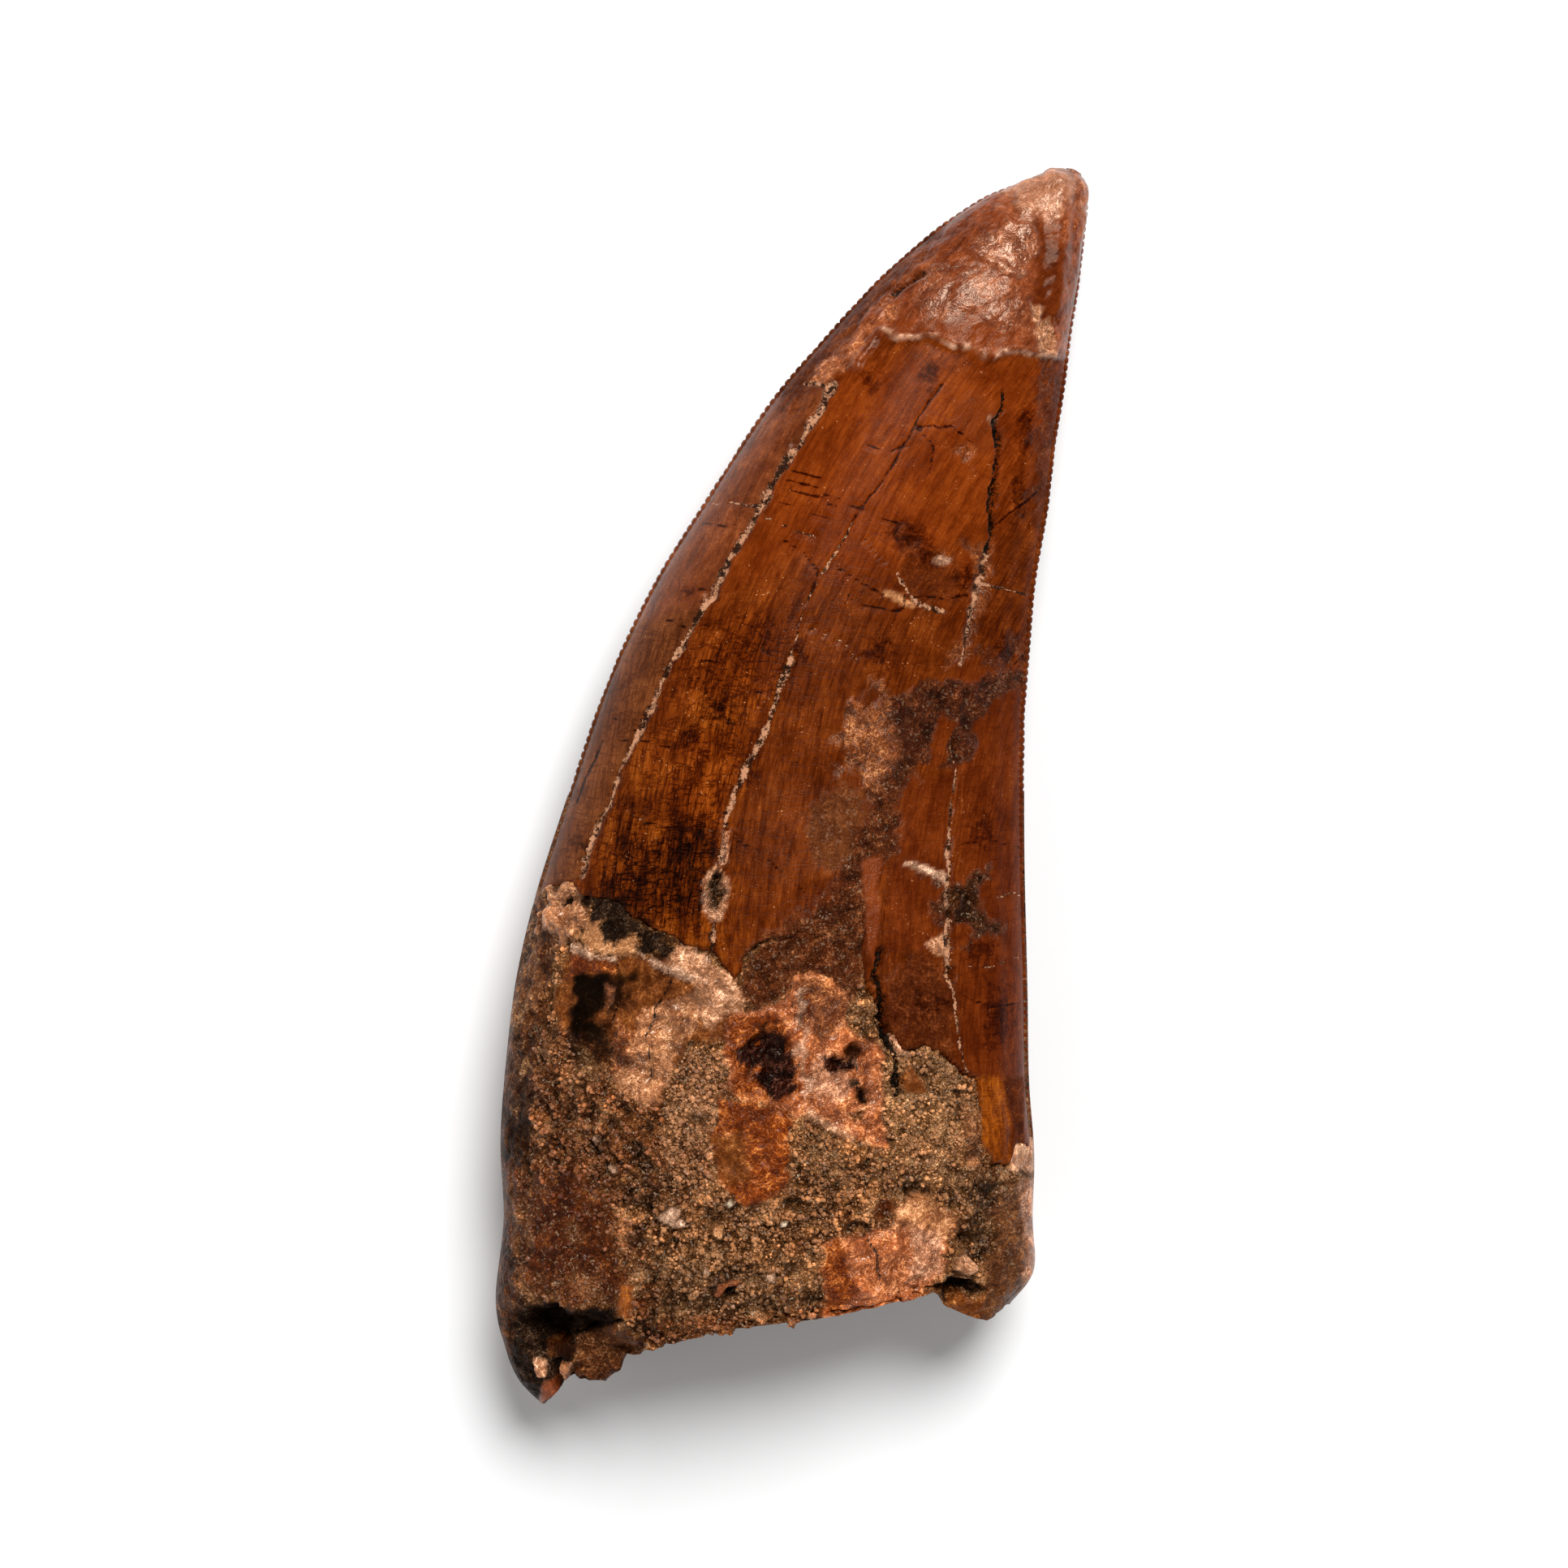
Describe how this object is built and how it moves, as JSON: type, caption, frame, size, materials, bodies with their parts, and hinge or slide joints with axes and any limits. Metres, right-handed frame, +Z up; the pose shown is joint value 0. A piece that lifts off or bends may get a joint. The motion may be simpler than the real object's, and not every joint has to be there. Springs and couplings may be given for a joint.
{
  "type": "fossil theropod tooth",
  "caption": "Recurved, flattened fossil tooth with serrated edges, cracked glossy enamel and a rough root whose end is broken off. It lies on its side.",
  "frame": {"origin": "on the surface that the tooth lies on, under the middle of its bounding box", "axes": "+X across the tooth towards its hollow-curved edge, +Y from the broken root to the tip, +Z up out of the face that is seen"},
  "size_m": [0.044, 0.0914, 0.0168],
  "materials": {
    "fossil_enamel": "glossy amber-brown fossil enamel, cracked, over a matt sandy root"
  },
  "bodies": {
    "root": {"tooth": "fossil_enamel"}
  },
  "joints": []
}
